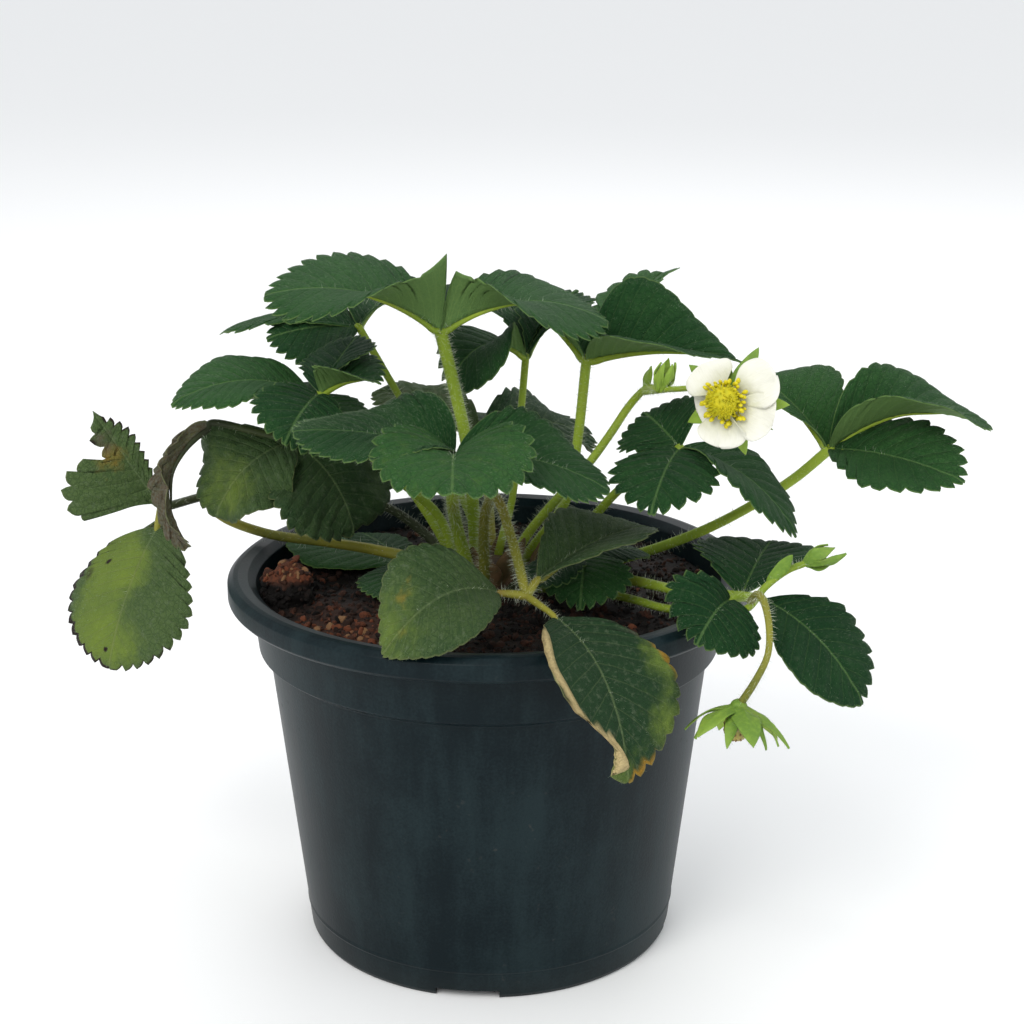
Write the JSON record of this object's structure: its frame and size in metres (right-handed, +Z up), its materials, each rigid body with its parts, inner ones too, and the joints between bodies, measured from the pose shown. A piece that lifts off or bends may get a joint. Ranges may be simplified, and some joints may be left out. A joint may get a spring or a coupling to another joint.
{
  "type": "potted strawberry plant",
  "caption": "Strawberry plant with toothed compound leaves, a white flower and a young fruit, growing in a round dark nursery pot filled with soil.",
  "frame": {"origin": "centre of the pot's foot, on the surface that the pot stands on", "axes": "+Z up along the pot's axis, -Y towards the front where the lowest old leaf hangs over the rim, X across the widest spread of the leaves"},
  "size_m": [0.2647, 0.1909, 0.2024],
  "materials": {
    "pot_plastic": "satin, blue-black",
    "soil": "moist crumbs of peat and coconut fibre",
    "crown": "dry scales and bases of old stalks",
    "leaf": "satin with fine pale hairs, paler underneath",
    "old_leaf": "dull, yellow and brown towards the margins",
    "flower_stalk": "yellow-green with white hairs",
    "petal": "soft satin, cream white",
    "flower_heart": "matt, pollen yellow",
    "young_fruit": "dull with small seeds"
  },
  "bodies": {
    "root": {"pot": "pot_plastic", "soil": "soil", "crown": "crown", "leaf_tall_left": "leaf", "leaf_back_middle": "leaf", "leaf_tall_right": "leaf", "leaf_upper_left": "leaf", "leaf_left": "leaf", "leaf_front": "leaf", "leaf_right": "leaf", "leaf_far_right": "leaf", "leaf_low_right": "leaf", "leaf_old_front": "old_leaf", "leaf_old_left": "old_leaf", "leaf_far_left": "old_leaf", "leaf_old_back": "old_leaf", "leaf_low_left": "leaf", "leaf_low_front": "leaf", "leaf_side_left": "leaf", "flower_stalk": "flower_stalk", "flower_petals": "petal", "flower_heart": "flower_heart", "fruit_stalk": "flower_stalk", "young_fruit": "young_fruit"}
  },
  "joints": []
}
